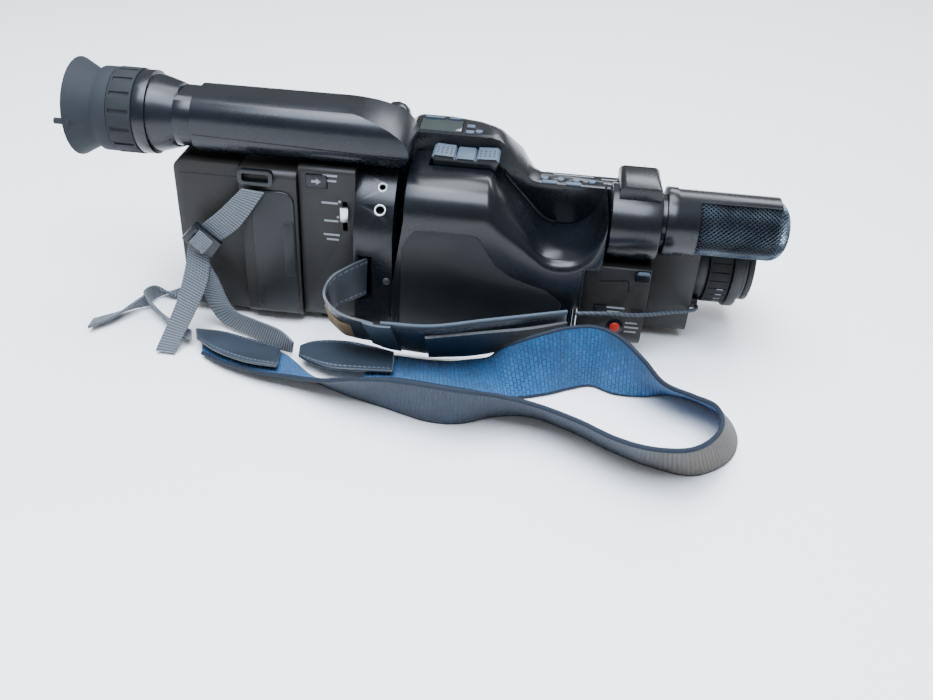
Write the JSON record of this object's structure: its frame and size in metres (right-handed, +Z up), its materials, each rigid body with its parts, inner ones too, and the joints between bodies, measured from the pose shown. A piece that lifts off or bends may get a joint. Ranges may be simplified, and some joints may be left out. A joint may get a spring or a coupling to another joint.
{
  "type": "camcorder",
  "caption": "Shoulder-strap video camera with tilting viewfinder, lens with focus and zoom rings, microphone, battery, cassette door, controls and straps.",
  "frame": {"origin": "centre of the base plate, on the flat face that stands on the table", "axes": "+X along the lens, out of its front; +Z up; -Y the grip side with the hand strap"},
  "size_m": [0.3489, 0.1961, 0.1263],
  "materials": {
    "body_plastic": "black injection-moulded ABS with a fine sprayed texture, semi-matt",
    "gloss_trim": "black semi-gloss ABS",
    "finder_plastic": "satin dark blue-grey moulded plastic",
    "rubber_part": "dark grey moulded rubber, matt",
    "bright_metal": "bright nickel-chrome plating",
    "sheet_metal": "plain stamped steel",
    "mesh_metal": "woven wire mesh with worn dark paint",
    "record_red": "red moulded plastic",
    "key_grey": "grey-blue moulded plastic",
    "clear_glass": "coated lens glass",
    "smoked_window": "smoked clear plastic window",
    "webbing_grey": "light grey-blue ribbed nylon webbing",
    "vinyl_grey": "slate grey-blue vinyl with stitched edges",
    "strap_weave": "padded woven strap, bright blue inner face and dark edges",
    "circuit_board": "green fibreglass circuit board"
  },
  "bodies": {
    "body": {"base_plate": "body_plastic", "rear_cover": "body_plastic", "label_wall": "body_plastic", "jack_panel": "body_plastic", "grip_cover": "body_plastic", "front_side_panel": "body_plastic", "top_cover": "body_plastic", "left_cover": "body_plastic", "lens_block": "body_plastic", "viewfinder_bracket": "body_plastic", "strap_loop_right": "body_plastic", "strap_loop_left": "body_plastic", "lens_barrel": "gloss_trim", "lens_cap": "gloss_trim", "mic_holder": "gloss_trim", "mic_frame": "gloss_trim", "shoe_block": "gloss_trim", "strap_buckle_right": "gloss_trim", "strap_bar": "bright_metal", "tripod_socket": "sheet_metal", "deck_chassis": "sheet_metal", "mic_grille": "mesh_metal", "front_glass": "clear_glass", "display_window": "smoked_window", "strap_webbing_right": "webbing_grey", "strap_webbing_left": "webbing_grey", "cap_leash": "webbing_grey", "hand_strap_band": "vinyl_grey", "hand_strap_pad": "vinyl_grey", "hand_strap_flap": "vinyl_grey", "strap_tab_right": "vinyl_grey", "strap_tab_left": "vinyl_grey", "strap_wide": "strap_weave", "main_board": "circuit_board", "sensor_board": "circuit_board"},
    "viewfinder": {"viewfinder_tube": "finder_plastic", "viewfinder_display": "body_plastic", "eyepiece_housing": "finder_plastic", "eyepiece_lens": "clear_glass"},
    "dioptre": {"dioptre_ring": "rubber_part"},
    "eye_rubber": {"eyecup": "rubber_part"},
    "rocker": {"zoom_rocker": "key_grey"},
    "release": {"battery_release_button": "body_plastic"},
    "lever": {"power_lever": "bright_metal"},
    "battery": {"battery_pack": "body_plastic"},
    "record": {"record_button": "record_red"},
    "mic_selector": {"mic_switch": "body_plastic"},
    "key_1": {"control_key_1": "key_grey"},
    "key_2": {"control_key_2": "key_grey"},
    "key_3": {"control_key_3": "key_grey"},
    "key_4": {"control_key_4": "key_grey"},
    "key_display": {"display_key": "key_grey"},
    "door": {"cassette_door": "body_plastic"},
    "holder": {"cassette_holder": "sheet_metal"},
    "drum": {"head_drum": "bright_metal"},
    "supply_reel": {"supply_spindle": "body_plastic"},
    "takeup_reel": {"takeup_spindle": "body_plastic"},
    "focus": {"focus_ring": "rubber_part"},
    "zoom": {"zoom_ring": "gloss_trim"}
  },
  "joints": [
    {"name": "viewfinder_tilt", "type": "hinge", "parent": "body", "child": "viewfinder", "pos_m": [-0.049, -0.0275, 0.103], "axis": [0, 1, 0], "range_deg": [0, 90]},
    {"name": "dioptre_turn", "type": "hinge", "parent": "viewfinder", "child": "dioptre", "pos_m": [-0.174, -0.0275, 0.103], "axis": [1, 0, 0], "range_deg": [-45, 45]},
    {"name": "eyecup_turn", "type": "hinge", "parent": "viewfinder", "child": "eye_rubber", "pos_m": [-0.19, -0.0275, 0.103], "axis": [1, 0, 0], "range_deg": [-180, 180]},
    {"name": "zoom_rocker_tilt", "type": "hinge", "parent": "body", "child": "rocker", "pos_m": [-0.0125, -0.01975, 0.0855], "axis": [0, 1, 0], "range_deg": [-7, 7], "stiffness_Nm_per_rad": 0.3},
    {"name": "battery_release_press", "type": "slide", "parent": "body", "child": "release", "axis": [0, 1, 0], "range_m": [0, 0.0012], "stiffness_N_per_m": 400},
    {"name": "power_lever_slide", "type": "slide", "parent": "body", "child": "lever", "axis": [0, 0, -1], "range_m": [0, 0.0035]},
    {"name": "battery_slide", "type": "slide", "parent": "body", "child": "battery", "axis": [-1, 0, 0], "range_m": [0, 0.006]},
    {"name": "record_press", "type": "slide", "parent": "body", "child": "record", "axis": [0, 1, 0], "range_m": [0, 0.001], "stiffness_N_per_m": 400},
    {"name": "mic_switch_slide", "type": "slide", "parent": "body", "child": "mic_selector", "axis": [0, 0, -1], "range_m": [0, 0.003]},
    {"name": "control_key_1_press", "type": "slide", "parent": "body", "child": "key_1", "axis": [0, 0, -1], "range_m": [0, 0.0007], "stiffness_N_per_m": 400},
    {"name": "control_key_2_press", "type": "slide", "parent": "body", "child": "key_2", "axis": [0, 0, -1], "range_m": [0, 0.0007], "stiffness_N_per_m": 400},
    {"name": "control_key_3_press", "type": "slide", "parent": "body", "child": "key_3", "axis": [0, 0, -1], "range_m": [0, 0.0007], "stiffness_N_per_m": 400},
    {"name": "control_key_4_press", "type": "slide", "parent": "body", "child": "key_4", "axis": [0, 0, -1], "range_m": [0, 0.0007], "stiffness_N_per_m": 400},
    {"name": "display_key_press", "type": "slide", "parent": "body", "child": "key_display", "axis": [0, 0, -1], "range_m": [0, 0.0007], "stiffness_N_per_m": 400},
    {"name": "cassette_door_hinge", "type": "hinge", "parent": "body", "child": "door", "pos_m": [-0.0385, 0.036, 0.01], "axis": [-1, 0, 0], "range_deg": [0, 80]},
    {"name": "cassette_holder_hinge", "type": "hinge", "parent": "body", "child": "holder", "pos_m": [-0.0385, 0.0326, 0.008], "axis": [-1, 0, 0], "range_deg": [0, 22]},
    {"name": "head_drum_spin", "type": "hinge", "parent": "body", "child": "drum", "pos_m": [-0.0385, 0.007, 0.05], "axis": [0, 1, 0], "continuous": true},
    {"name": "supply_reel_spin", "type": "hinge", "parent": "body", "child": "supply_reel", "pos_m": [-0.0605, 0.014, 0.026], "axis": [0, 1, 0], "continuous": true},
    {"name": "takeup_reel_spin", "type": "hinge", "parent": "body", "child": "takeup_reel", "pos_m": [-0.0165, 0.014, 0.026], "axis": [0, 1, 0], "continuous": true},
    {"name": "focus_turn", "type": "hinge", "parent": "body", "child": "focus", "pos_m": [0.1207, 0, 0.038], "axis": [1, 0, 0], "range_deg": [-60, 60]},
    {"name": "zoom_turn", "type": "hinge", "parent": "body", "child": "zoom", "pos_m": [0.1293, 0, 0.038], "axis": [1, 0, 0], "range_deg": [-35, 35]}
  ],
  "couplings": [
    {"joint": "cassette_holder_hinge", "follows": "cassette_door_hinge", "ratio": 0.275}
  ]
}
